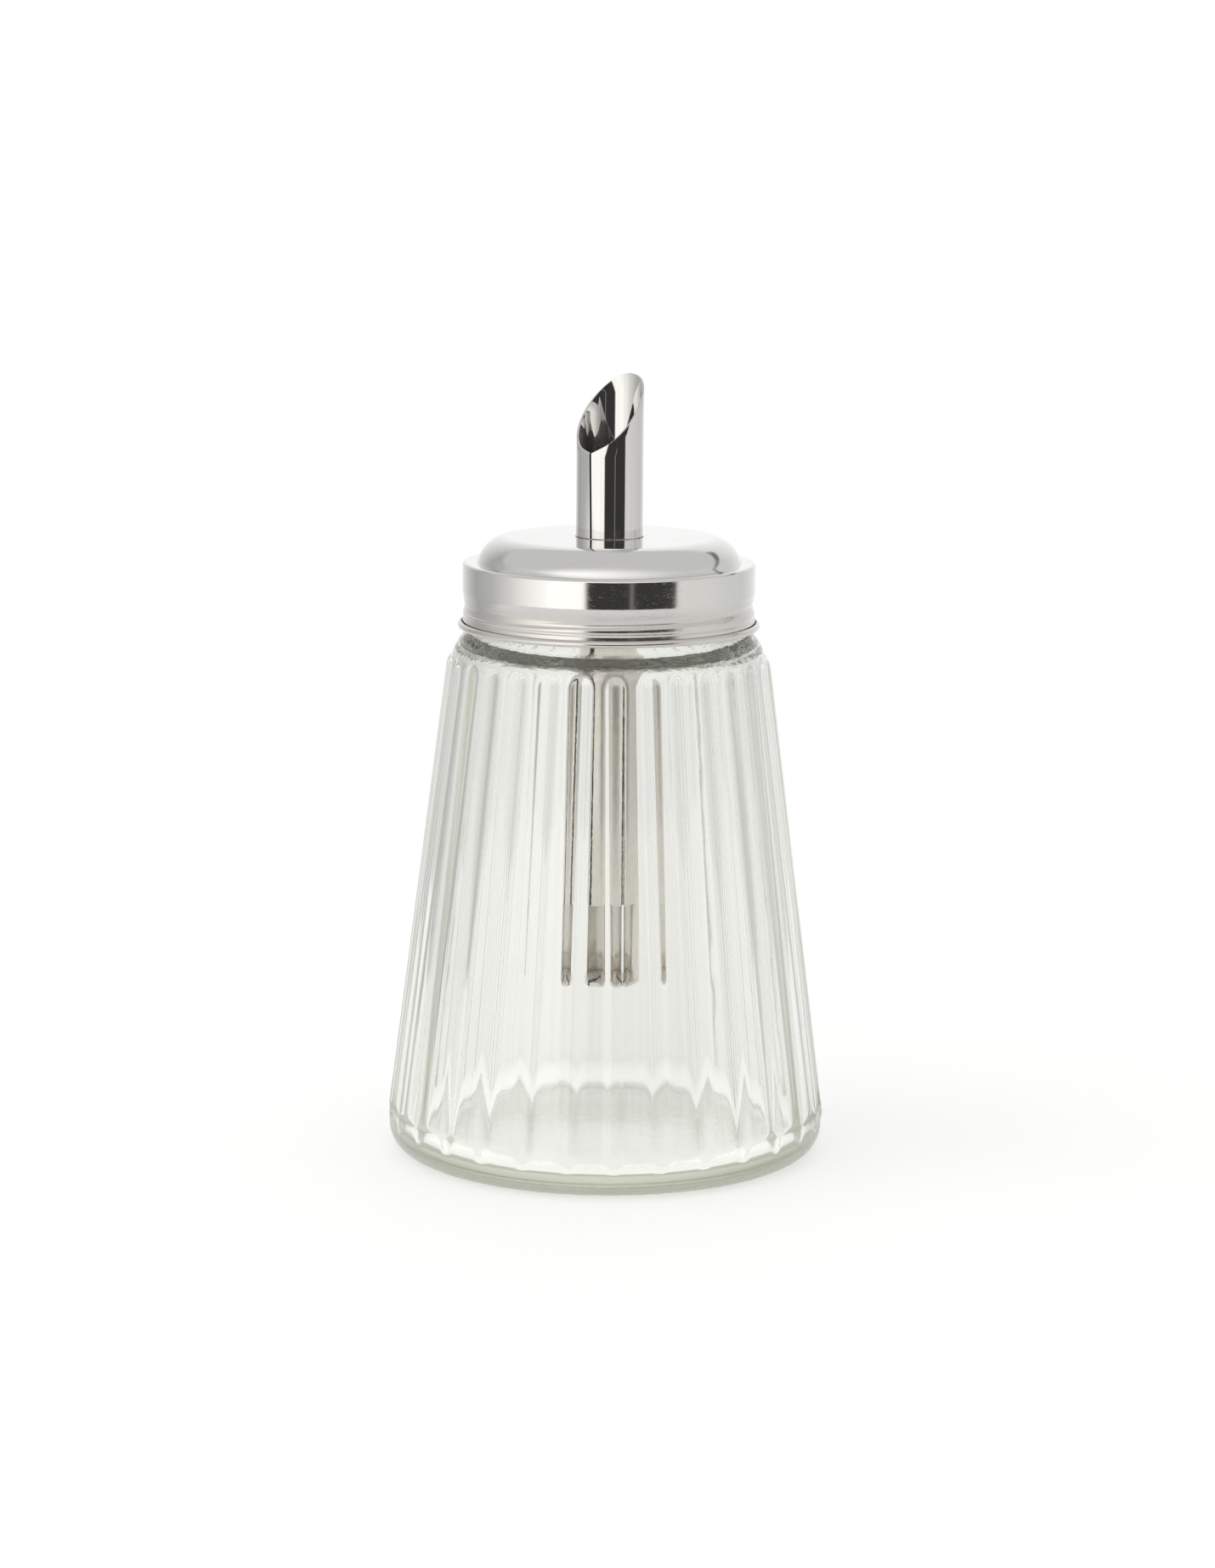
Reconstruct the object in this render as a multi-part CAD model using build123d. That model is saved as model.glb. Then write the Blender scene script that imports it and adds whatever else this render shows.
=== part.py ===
"""Sugar dispenser: ribbed glass jar, screw lid of steel sheet and a dosing tube.

Millimetres, +Z up. The origin is the centre of the circle that the jar stands on.
The tube's mouth, its seam and its dosing window all face -Y.
"""
from build123d import *
import os
from math import atan2, cos, degrees, radians, sin, sqrt, tan

# ---- glass jar -------------------------------------------------------------
body_foot_radius = 40.25       # smooth wall between the ribs, run down to the table
shoulder_height = 92.9         # where that wall would meet the shoulder's slope
shoulder_step = 3.35           # from that corner in to the neck
shoulder_slope = 45.0          # degrees from the jar's axis
shoulder_rounding = 9.0
heel_rounding = 5.0
wall = 3.4                     # at the floor; it thins towards the shoulder
shoulder_wall = 2.5
floor_height = 3.4
floor_rounding = 4.5
ceiling_drop = 1.5             # from the shoulder's corner down to the edge of the slope inside
ceiling_slope = 25.0           # degrees from horizontal, under the shoulder
ceiling_rounding = 2.5
bore_rounding = 0.8
stand_ring_inset = 9.75        # from the foot in to the inner edge of the ring it stands on
punt_height = 1.3              # hollow under the middle of the base

neck_radius = 24.85
neck_wall = 2.4
neck_length = 10.05            # from the shoulder's slope up to the rim
neck_rounding = 1.2
rim_rounding = 0.7

# ---- ribs moulded on the jar -----------------------------------------------
rib_count = 30
rib_round = 3.0                # radius of a rib's round section, most of it sunk in the wall
rib_top_rise = 0.65            # how far the crest stands proud near the top
rib_foot_rise = 0.5
rib_top_drop = 1.9             # from the shoulder down to the arch that closes a rib
rib_foot_end = 5.65            # height of a rib's rounded foot

# ---- lid -------------------------------------------------------------------
sheet = 0.4
thread_room = 0.65             # from the neck out to the inside of the waist
crown_rise = 4.6               # from the flat rim ring up to the crown
dome_slope_width = 1.35        # the dome falls from the crown to the rim ring over this width
dome_rounding = 5.5
groove_rounding = 0.5
rim_ring_width = 2.6
rim_ring_rounding = 0.6
band_step = 0.45               # upright band below the rim ring, out from the waist
waist_top_rise = 6.2           # this height and the next two are above the bead
waist_rise = 3.4
waist_rounding = 2.5
flare_rise = 1.5
flare_step = 0.45              # skirt just above the bead, out from the waist
flare_rounding = 1.0
bead_lift = 0.35               # from the foot of the neck up to the middle of the bead
bead_eye_radius = 0.22         # hollow left inside the curled edge

# ---- sealing ring ----------------------------------------------------------
liner_thickness = 1.2
liner_inset = 0.25             # from the neck's bore
liner_side_gap = 0.5           # to the inside of the skirt

# ---- dosing tube -----------------------------------------------------------
tube_radius = 6.0
tube_wall = 0.4
tube_seam = 0.4                # open butt seam along the front
mouth_low_rise = 15.7          # lips of the slanted mouth, above the crown
mouth_high_rise = 28.9
window_height = 14.0
disc_clearance = 27.4          # from the jar's floor up to the closing disc
disc_thickness = 0.8
braze_gap = 0.03

# ---- collar under the dome -------------------------------------------------
collar_flange_radius = 10.5
collar_wall = 0.8
collar_length = 5.0

# ---- sizes that follow from these ------------------------------------------
shoulder_radius = neck_radius + shoulder_step
lean = degrees(atan2(body_foot_radius - shoulder_radius, shoulder_height))  # wall from the axis
neck_bore = neck_radius - neck_wall
neck_root = shoulder_height + shoulder_step / tan(radians(shoulder_slope))
rim_height = neck_root + neck_length
liner_top = rim_height + liner_thickness
rim_ring_height = liner_top + sheet
crown_height = rim_ring_height + crown_rise
bead_height = neck_root + bead_lift
waist_radius = neck_radius + thread_room + sheet
band_radius = waist_radius + band_step
flare_radius = waist_radius + flare_step
disc_height = floor_height + disc_clearance
mouth_low = crown_height + mouth_low_rise
mouth_high = crown_height + mouth_high_rise


def turned(points, radii):
    """Solid of revolution about Z; points are (radius, height) corners, radii their roundings."""
    outline = FilletPolyline(*points, radius=radii, close=True)
    return revolve(Plane.XZ * make_face(outline), Axis.Z)


def wall_radius(height):
    """Radius of the smooth outer wall at a height."""
    return body_foot_radius - height * tan(radians(lean))


def glass_blank():
    """The outside of the jar, solid and without ribs."""
    points = [
        (0, 0),
        (body_foot_radius, 0),
        (shoulder_radius, shoulder_height),
        (neck_radius, neck_root),
        (neck_radius, rim_height),
        (0, rim_height),
    ]
    return turned(points, [0, heel_rounding, shoulder_rounding, neck_rounding, 0, 0])


def cavity():
    """The inside of the jar, from the floor up through the neck."""
    floor_radius = wall_radius(floor_height) - wall / cos(radians(lean))
    edge_height = shoulder_height - ceiling_drop
    edge_radius = wall_radius(edge_height) - shoulder_wall / cos(radians(lean))
    bore_root = edge_height + (edge_radius - neck_bore) * tan(radians(ceiling_slope))
    points = [
        (0, floor_height),
        (floor_radius, floor_height),
        (edge_radius, edge_height),
        (neck_bore, bore_root),
        (neck_bore, rim_height),
        (0, rim_height),
    ]
    return turned(points, [0, floor_rounding, ceiling_rounding, bore_rounding, 0, 0])


def rib_end_centre(end_height, rise, step):
    """Centre of the ball that closes a rib whose outline on the wall stops at end_height."""
    half_width = sqrt(rib_round**2 - (rib_round - rise) ** 2)
    height = end_height + step * half_width * cos(radians(lean))
    sink = rib_round - rise
    return (wall_radius(height) - sink * cos(radians(lean)), 0, height - sink * sin(radians(lean)))


def rib():
    """One rib on the +X side: a rod with ball ends, sunk until only its crest is proud."""
    foot = rib_end_centre(rib_foot_end, rib_foot_rise, 1)
    top = rib_end_centre(shoulder_height - rib_top_drop, rib_top_rise, -1)
    centre_line = Line(foot, top)
    rod = sweep(Plane(centre_line @ 0, z_dir=centre_line % 0) * Circle(rib_round), path=centre_line)
    return rod + Pos(foot) * Sphere(rib_round) + Pos(top) * Sphere(rib_round)


def glass_jar():
    """Ribbed jar with a thick base, a rounded shoulder and the neck that the lid screws on."""
    front_rib = Rot(0, 0, -90) * rib()
    ribs = [Rot(0, 0, i * 360 / rib_count) * front_rib for i in range(rib_count)]
    stand_ring_radius = body_foot_radius - stand_ring_inset
    punt_ball = (stand_ring_radius**2 + punt_height**2) / (2 * punt_height)
    punt = Pos(0, 0, punt_height - punt_ball) * Sphere(punt_ball)
    jar = (glass_blank() + ribs) - cavity() - punt
    rim_edges = jar.edges().group_by(Axis.Z)[-1]
    return fillet(rim_edges, rim_rounding)


def lid_cap():
    """Dome, rim ring, waisted skirt and the bead that its edge is curled into."""
    dome_foot_radius = band_radius - rim_ring_width
    top_and_skirt = FilletPolyline(
        (tube_radius + braze_gap, crown_height),
        (dome_foot_radius - dome_slope_width, crown_height),
        (dome_foot_radius, rim_ring_height),
        (band_radius, rim_ring_height),
        (band_radius, bead_height + waist_top_rise),
        (waist_radius, bead_height + waist_rise),
        (flare_radius, bead_height + flare_rise),
        (flare_radius, bead_height),
        radius=[
            dome_rounding,
            groove_rounding,
            rim_ring_rounding,
            waist_rounding,
            waist_rounding,
            flare_rounding,
        ],
    )
    section = make_face(offset(top_and_skirt, amount=sheet, side=Side.RIGHT))
    bead_radius = bead_eye_radius + sheet
    open_quarter = Pos(-bead_radius / 2, bead_radius / 2) * Rectangle(bead_radius, bead_radius)
    curl = Circle(bead_radius) - Circle(bead_eye_radius) - open_quarter
    section += Pos(flare_radius + bead_eye_radius, bead_height) * curl
    return revolve(Plane.XZ * section, Axis.Z)


def lid_liner():
    """Flat sealing ring between the glass rim and the lid's rim ring."""
    inner = neck_bore + liner_inset
    outer = band_radius - sheet - liner_side_gap
    points = [(inner, rim_height), (outer, rim_height), (outer, liner_top), (inner, liner_top)]
    return turned(points, 0)


def dosing_tube():
    """Rolled tube with an open seam, a slanted mouth and a window above its closing disc."""
    foot = disc_height + disc_thickness
    ring = Rot(0, 0, -90) * (Circle(tube_radius) - Circle(tube_radius - tube_wall))
    rolled_strip = ring - Pos(0, -tube_radius) * Rectangle(tube_seam, tube_radius)
    tube = Pos(0, 0, foot) * extrude(rolled_strip, mouth_high - foot)
    tube -= Pos(0, -tube_radius, foot) * Box(3 * tube_radius, 2 * tube_radius, 2 * window_height)
    mouth = Plane(
        origin=(0, 0, (mouth_low + mouth_high) / 2),
        x_dir=(1, 0, 0),
        z_dir=(0, mouth_low - mouth_high, 2 * tube_radius),
    )
    return split(tube, bisect_by=mouth, keep=Keep.BOTTOM)


def tube_end_disc():
    """Disc brazed under the tube."""
    return Pos(0, 0, disc_height) * extrude(Circle(tube_radius), disc_thickness)


def tube_collar():
    """Flanged collar under the crown; the tube is held in it."""
    bore = tube_radius + braze_gap
    top = crown_height - sheet
    points = [
        (bore, top),
        (collar_flange_radius, top),
        (collar_flange_radius, top - collar_wall),
        (bore + collar_wall, top - collar_wall),
        (bore + collar_wall, top - collar_length),
        (bore, top - collar_length),
    ]
    return turned(points, 0)


pieces = {
    "glass_jar": glass_jar,
    "lid_cap": lid_cap,
    "lid_liner": lid_liner,
    "dosing_tube": dosing_tube,
    "tube_end_disc": tube_end_disc,
    "tube_collar": tube_collar,
}

os.makedirs("parts", exist_ok=True)
for name, make in pieces.items():
    export_step(make(), f"parts/{name}.step")
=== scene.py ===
"""Dressed model of a sugar dispenser: ribbed glass jar, steel screw lid and dosing tube.

Metres, +Z up, in the frame of the packed part. The tube's mouth, its seam and its dosing
window face -Y, and azimuths on the part are measured from there, counter-clockwise from above.
"""

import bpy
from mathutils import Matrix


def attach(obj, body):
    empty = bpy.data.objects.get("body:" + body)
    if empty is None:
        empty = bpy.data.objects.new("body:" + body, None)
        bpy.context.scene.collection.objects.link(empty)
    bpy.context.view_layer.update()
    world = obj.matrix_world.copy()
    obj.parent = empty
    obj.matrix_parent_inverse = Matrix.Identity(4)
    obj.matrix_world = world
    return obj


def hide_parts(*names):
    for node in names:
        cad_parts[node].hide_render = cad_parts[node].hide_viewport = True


bl_info = {
    "name": "Sugar Dispenser",
    "version": (1, 0, 0),
    "blender": (4, 5, 0),
    "location": "3D View > Sidebar > Sugar Dispenser",
    "description": "Ribbed glass sugar dispenser with a steel screw lid and a dosing tube",
    "category": "Object",
}

from math import acos, asin, atan2, ceil, cos, hypot, pi, radians, sin, sqrt, tan

import bmesh
import bpy
from bpy.props import FloatProperty, FloatVectorProperty, IntProperty, PointerProperty
from mathutils import Matrix, Vector

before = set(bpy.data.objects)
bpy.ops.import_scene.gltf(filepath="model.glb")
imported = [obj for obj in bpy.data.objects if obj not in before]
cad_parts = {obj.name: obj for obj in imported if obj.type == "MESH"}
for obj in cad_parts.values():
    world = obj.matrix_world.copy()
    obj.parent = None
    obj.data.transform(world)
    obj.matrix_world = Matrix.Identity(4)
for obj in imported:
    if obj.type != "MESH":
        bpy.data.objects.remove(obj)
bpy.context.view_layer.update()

IMAGE_HEIGHT = 1845  # pixels, of an image 1430 wide
UP = Vector((0, 0, 1))
WHITE = (1.0, 1.0, 1.0)
BLACK = (0.0, 0.0, 0.0)


def length(name, description, millimetres):
    """A size that the user can change."""
    return FloatProperty(
        name=name, description=description, default=millimetres / 1000, unit="LENGTH", precision=5
    )


def angle(name, description, turn):
    """An angle that the user can change."""
    return FloatProperty(name=name, description=description, default=radians(turn), unit="ROTATION")


def colour(name, description, value):
    """A colour that the user can change."""
    return FloatVectorProperty(
        name=name, description=description, default=value, size=3, min=0, max=1, subtype="COLOR"
    )


class JarSizes(bpy.types.PropertyGroup):
    """The pressed glass jar."""

    foot_radius: length("Foot radius", "Smooth wall run down to the table", 40.25)
    heel_rounding: length("Heel rounding", "Edge between the wall and the base", 5.0)
    shoulder_height: length("Shoulder height", "Where the wall would meet the slope", 92.9)
    shoulder_step: length("Shoulder step", "From that corner in to the neck", 3.35)
    shoulder_rounding: length("Shoulder rounding", "Outside of the shoulder", 9.0)
    wall: length("Wall", "Thickness of the wall between the ribs", 3.4)
    floor_height: length("Floor", "Thickness of the base", 3.4)
    floor_rounding: length("Floor rounding", "Between the floor and the inner wall", 4.5)
    punt_height: length("Punt", "Height of the hollow under the base", 1.3)
    punt_radius: length("Punt radius", "Radius of the hollow under the base", 30.5)
    neck_radius: length("Neck radius", "Outside of the neck", 24.85)
    neck_wall: length("Neck wall", "Thickness of the neck", 2.4)
    neck_length: length("Neck length", "From the shoulder's slope to the rim", 10.05)
    neck_rounding: length("Neck rounding", "Between the shoulder and the neck", 1.2)
    rim_rounding: length("Rim rounding", "Fire-polished edges of the rim", 0.7)
    ceiling_height: length("Ceiling height", "Outer edge of the slope inside the shoulder", 91.4)
    ceiling_slope: angle("Ceiling slope", "Slope inside the shoulder, from horizontal", 25)
    shoulder_wall: length("Shoulder wall", "The wall thins to this at the shoulder", 2.5)
    rib_count: IntProperty(name="Ribs", description="Ribs round the jar", default=30)
    rib_round: length("Rib round", "Radius of a rib's round section", 3.0)
    rib_top_rise: length("Rib rise at the top", "How far a rib stands proud there", 0.65)
    rib_foot_rise: length("Rib rise at the foot", "How far a rib stands proud there", 0.5)
    rib_top_end: length("Rib top", "Height of the arch that closes a rib", 91.0)
    rib_foot_end: length("Rib foot", "Height of a rib's rounded foot", 5.65)
    rib_softness: length("Rib softness", "Width over which a rib melts into the wall", 0.15)
    thread_rise: length("Thread rise", "How far the thread on the neck stands proud", 0.35)
    thread_width: length("Thread width", "Width of that thread", 1.8)
    thread_foot: length("Thread foot", "Height at which the thread starts", 98.2)
    thread_pitch: length("Thread pitch", "Rise of the thread in a turn", 4.0)
    thread_laps: FloatProperty(name="Thread laps", description="Turns of thread", default=1.3)


class LidSizes(bpy.types.PropertyGroup):
    """The screw lid, its sealing ring and its collar."""

    sheet: length("Sheet", "Thickness of the steel sheet", 0.4)
    crown_height: length("Crown height", "Top of the dome", 112.5)
    crown_radius: length("Crown radius", "Flat crown run out to the dome's slope", 22.4)
    dome_foot_radius: length("Dome foot", "Radius of the dome's foot", 23.75)
    dome_rounding: length("Dome rounding", "Edge of the crown", 5.5)
    ring_height: length("Ring height", "Flat rim ring", 107.9)
    ring_rounding: length("Ring rounding", "Outer edge of the rim ring", 0.6)
    crease_depth: length("Crease depth", "Fine crease between the dome and the rim ring", 0.2)
    band_radius: length("Band radius", "Upright band below the rim ring", 26.35)
    band_foot: length("Band foot", "Height where the band draws in", 102.8)
    waist_radius: length("Waist radius", "Narrowest part of the skirt", 25.9)
    waist_height: length("Waist height", "Height of that part", 100.0)
    swell_height: length("Swell height", "Middle of the swell below the waist", 98.85)
    flare_radius: length("Flare radius", "Skirt just above the bead", 26.35)
    flare_height: length("Flare height", "Height where the flare ends", 97.85)
    bead_height: length("Bead height", "Middle of the curled edge", 96.6)
    bead_eye: length("Bead eye", "Radius of the hollow inside the curled edge", 0.22)
    groove_height: length("Thread groove", "Its height at the azimuth below", 99.66)
    groove_azimuth: angle("Groove azimuth", "Where the groove has that height", 33.5)
    groove_depth: length("Groove depth", "Depth of the rolled thread", 0.2)
    groove_width: length("Groove width", "Width of the rolled thread", 1.5)
    liner_radius: length("Liner radius", "Inside of the sealing ring", 22.7)
    liner_gap: length("Liner gap", "From the sealing ring to the skirt", 0.5)
    liner_height: length("Liner height", "Underside of the sealing ring", 106.3)
    collar_flange: length("Collar flange", "Radius of the collar's flange", 10.5)
    collar_wall: length("Collar wall", "Thickness of the collar", 0.8)
    collar_length: length("Collar length", "From the crown's underside to the collar's end", 5.0)
    braze_gap: length("Braze gap", "Room between the tube and what it is brazed to", 0.03)
    braze_width: length("Braze width", "Fillet of solder round the tube", 0.12)


class TubeSizes(bpy.types.PropertyGroup):
    """The dosing tube and its closing disc."""

    radius: length("Tube radius", "Outside of the tube", 6.0)
    wall: length("Tube wall", "Thickness of the tube", 0.4)
    seam: length("Seam", "Width of the open butt seam", 0.3)
    mouth_low: length("Mouth, low lip", "Height of the low lip", 128.2)
    mouth_high: length("Mouth, high lip", "Height of the high lip", 141.4)
    window_height: length("Window height", "Height of the dosing window", 14.0)
    disc_height: length("Disc height", "Underside of the closing disc", 30.8)
    disc_thickness: length("Disc thickness", "Thickness of the closing disc", 0.8)
    mouth_turn: angle("Mouth turn", "From the seam to the low lip, counter-clockwise", -7)
    keel: length("Keel", "How far the seam stands proud at the mouth", 0.45)
    edge: length("Edge", "Softening of the cut edges", 0.06)


class Finishes(bpy.types.PropertyGroup):
    """Colours of the materials."""

    glass_tint: colour("Glass tint", "Colour that thick glass takes", (0.70, 0.71, 0.56))
    glass_depth: FloatProperty(
        name="Glass depth", description="How fast thick glass takes its tint", default=13.0, min=0
    )
    steel: colour("Steel", "Polished stainless steel", (0.78, 0.775, 0.765))
    tube_steel: colour("Tube steel", "Drawn stainless steel", (0.76, 0.755, 0.745))
    braze: colour("Braze", "Solder", (0.50, 0.48, 0.45))
    liner: colour("Liner", "Sealing ring", (0.78, 0.77, 0.74))


class StudioSettings(bpy.types.PropertyGroup):
    """Camera, floor and light."""

    camera_distance: length("Camera distance", "From the part's axis, level", 770.8)
    camera_height: length("Camera height", "Above the floor", 204.6)
    camera_azimuth: angle("Camera azimuth", "From the mouth's side, counter-clockwise", 33.5)
    camera_dip: angle("Camera dip", "Below the horizon", 10.1)
    camera_roll: angle("Camera roll", "Counter-clockwise", 0.44)
    focal_pixels: FloatProperty(
        name="Focal length", description="In pixels of the full image", default=5080
    )
    floor_radius: length("Floor radius", "Disc that the part stands on", 310)
    floor_colour: colour("Floor colour", "Pale table", (0.86, 0.86, 0.86))
    floor_glow: FloatProperty(
        name="Floor glow",
        description="Light that only camera, gloss and glass see",
        default=0.355,
        min=0,
        max=1,
        subtype="FACTOR",
    )


# ---- shader nodes ----------------------------------------------------------


class Socket:
    """An output in a node tree; sums and products with it add Math nodes."""

    def __init__(self, nodes, link):
        self.nodes = nodes
        self.link = link

    def math(self, operation, *others):
        sockets = dict(enumerate((self, *others)))
        return self.nodes.add("ShaderNodeMath", {"operation": operation}, sockets)

    def __add__(self, other):
        return self.math("ADD", other)

    def __sub__(self, other):
        return self.math("SUBTRACT", other)

    def __rsub__(self, other):
        return (self * -1).math("ADD", other)

    def __mul__(self, other):
        return self.math("MULTIPLY", other)

    def __truediv__(self, other):
        return self.math("DIVIDE", other)

    __radd__ = __add__
    __rmul__ = __mul__

    def output(self, name):
        """Another output of the same node."""
        return Socket(self.nodes, self.link.node.outputs[name])


class Nodes:
    """Adds nodes to the tree of a material or world."""

    def __init__(self, owner):
        owner.use_nodes = True
        self.tree = owner.node_tree
        self.tree.nodes.clear()

    def add(self, kind, settings=None, sockets=None):
        """A node of that kind, its settings made before its sockets; returns its first output."""
        node = self.tree.nodes.new(kind)
        for name, value in (settings or {}).items():
            if name == "stops":
                self.set_stops(node.color_ramp, value)
            else:
                setattr(node, name, value)
        for name, value in (sockets or {}).items():
            if isinstance(value, Socket):
                self.tree.links.new(value.link, node.inputs[name])
            else:
                node.inputs[name].default_value = value
        live = [socket for socket in node.outputs if socket.enabled]
        return Socket(self, live[0]) if live else None

    @staticmethod
    def set_stops(ramp, stops):
        """Gives a ramp its (place, grey level) stops."""
        while len(ramp.elements) < len(stops):
            ramp.elements.new(0.5)
        for element, (place, level) in zip(ramp.elements, stops):
            element.position = place
            element.color = (level, level, level, 1)

    def between(self, value, low, high):
        """0 on low's side, 1 on high's side, smooth in between; low may be the greater."""
        return self.add(
            "ShaderNodeMapRange",
            {"interpolation_type": "SMOOTHSTEP"},
            {"Value": value, "From Min": low, "From Max": high},
        )

    def mix(self, factor, first, second, blend="MIX"):
        """A colour between two colours."""
        settings = {"data_type": "RGBA", "blend_type": blend}
        sockets = {"Factor": factor, 6: first, 7: second}
        return self.add("ShaderNodeMix", settings, sockets).output(2)

    def noise(self, vector, scale, detail=2.0, roughness=0.5):
        """Cloudy values round 0.5."""
        return self.add(
            "ShaderNodeTexNoise",
            {},
            {"Vector": vector, "Scale": scale, "Detail": detail, "Roughness": roughness},
        )

    def place(self):
        """Place on the part, in metres."""
        return self.add("ShaderNodeTexCoord").output("Object")

    def coordinate(self, axis):
        """X, Y or Z of a place on the part, in metres."""
        return self.add("ShaderNodeSeparateXYZ", {}, {0: self.place()}).output(axis)

    def stretched(self, vector, scale):
        """A vector whose x, y and z are multiplied by three numbers."""
        return self.add(
            "ShaderNodeVectorMath", {"operation": "MULTIPLY"}, {0: vector, 1: scale}
        )

    def round_axis(self, around, along):
        """Azimuth, radius and height of a place; one scale for the azimuth, one for the others."""
        parts = self.add("ShaderNodeSeparateXYZ", {}, {0: self.place()})
        x, y = parts.output("X"), parts.output("Y")
        azimuth = x.math("ARCTAN2", y * -1)
        radius = (x * x + y * y).math("SQRT")
        return self.add(
            "ShaderNodeCombineXYZ",
            {},
            {"X": azimuth * around, "Y": radius * along, "Z": parts.output("Z") * along},
        )

    def from_axis(self):
        """Distance from the part's axis."""
        flat = self.stretched(self.place(), (1.0, 1.0, 0.0))
        return self.add("ShaderNodeVectorMath", {"operation": "LENGTH"}, {0: flat}).output("Value")

    def bump(self, strength, distance, height):
        """A normal bent by a height."""
        sockets = {"Strength": strength, "Distance": distance, "Height": height}
        return self.add("ShaderNodeBump", {}, sockets)

    def principled(self, sockets):
        """The main shader, with the values or links of its sockets."""
        return self.add("ShaderNodeBsdfPrincipled", {}, sockets)

    def finish(self, surface, volume=None):
        """Ends a material's tree."""
        sockets = {"Surface": surface}
        if volume is not None:
            sockets["Volume"] = volume
        self.add("ShaderNodeOutputMaterial", {}, sockets)


def opaque(value):
    """A colour with its alpha."""
    return (*value, 1.0)


def material_of(finish, settings):
    """The material that a finish describes, made when it is first asked for."""
    material = bpy.data.materials.get(finish.__name__)
    if not material:
        material = bpy.data.materials.new(finish.__name__)
        finish(Nodes(material), settings)
    return material


# ---- finishes --------------------------------------------------------------

SCRATCHED_STEEL = (0.93, 0.93, 0.92)
# painted reflection: darker, browner tone on the lid's skirt
SKIRT_PAINTED_REFLECTION = (0.70, 0.66, 0.61)
DRAWN_LINES = (0.70, 0.695, 0.685)
TARNISHED_STEEL = (0.84, 0.80, 0.75)
# painted shade: near-black line along the tube's open seam
SEAM_PAINTED_SHADE = (0.03, 0.028, 0.025)
DEEP_STEEL = (0.40, 0.39, 0.38)
BURNT_SOLDER = (0.20, 0.18, 0.15)
GLASS_SURFACE = (0.935, 0.940, 0.925)
GLASS_SHADE = (0.93, 0.935, 0.915)
WORN_PLASTIC = (0.70, 0.69, 0.65)
LAST_MIRROR = 2.5  # a ray that was mirrored more often meets a plain stand-in
GLASS_IOR = 1.52

# Each pair gives the places, in metres, between which a finish, a painted reflection or a painted
# shade fades in.
SKIRT_FADE = (0.1024, 0.1010)  # heights: the skirt below the band is rougher and has a painted darker, browner reflection
TARNISH_FADE = (0.1120, 0.1100)  # heights: inside the jar the tube is tarnished
SEAM_FADE = (0.00022, 0.00018)  # distances from the middle of the seam over which its painted shade fades in
SWIRL_FOOT = (0.0903, 0.0910)  # heights: swirls in the glass inside the shoulder
SWIRL_HEAD = (0.0940, 0.0932)
SWIRL_EDGE = (0.0268, 0.0262)  # distances from the axis
BASE_FADE = (0.0036, 0.0030)  # heights: the base is less clear


def polished_steel(nodes, finishes):
    """Spun and buffed sheet: fine rings from the wheel and a few hair scratches."""
    rings = nodes.noise(nodes.round_axis(0.6, 2600.0), 1.0, 3.0, 0.6)
    hairs = nodes.noise(nodes.round_axis(14.0, 5200.0), 1.0, 4.0, 0.7)
    clouds = nodes.noise(nodes.place(), 90.0, 3.0)
    scratches = nodes.between(hairs, 0.54, 0.72)
    skirt = nodes.between(nodes.coordinate("Z"), *SKIRT_FADE)
    haze = nodes.between(nodes.noise(nodes.round_axis(1.6, 60.0), 1.0, 2.0), 0.42, 0.62)
    tone = nodes.mix(scratches * 0.35, opaque(finishes.steel), opaque(SCRATCHED_STEEL))
    # Painted reflection: below the band the skirt is darkened and browned for the darker things
    # that it reflects; its roughness is raised too.
    tone = nodes.mix(skirt * 0.45, tone, opaque(SKIRT_PAINTED_REFLECTION))
    roughness = clouds * 0.05 + scratches * (haze * 0.2 + 0.15)
    roughness = roughness + skirt * 0.10 + haze * 0.04 + 0.045
    surface = nodes.principled({
        "Base Color": tone,
        "Metallic": 1.0,
        "Roughness": roughness,
        "Normal": nodes.bump(0.05, 0.0001, rings + hairs * 0.6),
    })
    nodes.finish(surface)


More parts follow.
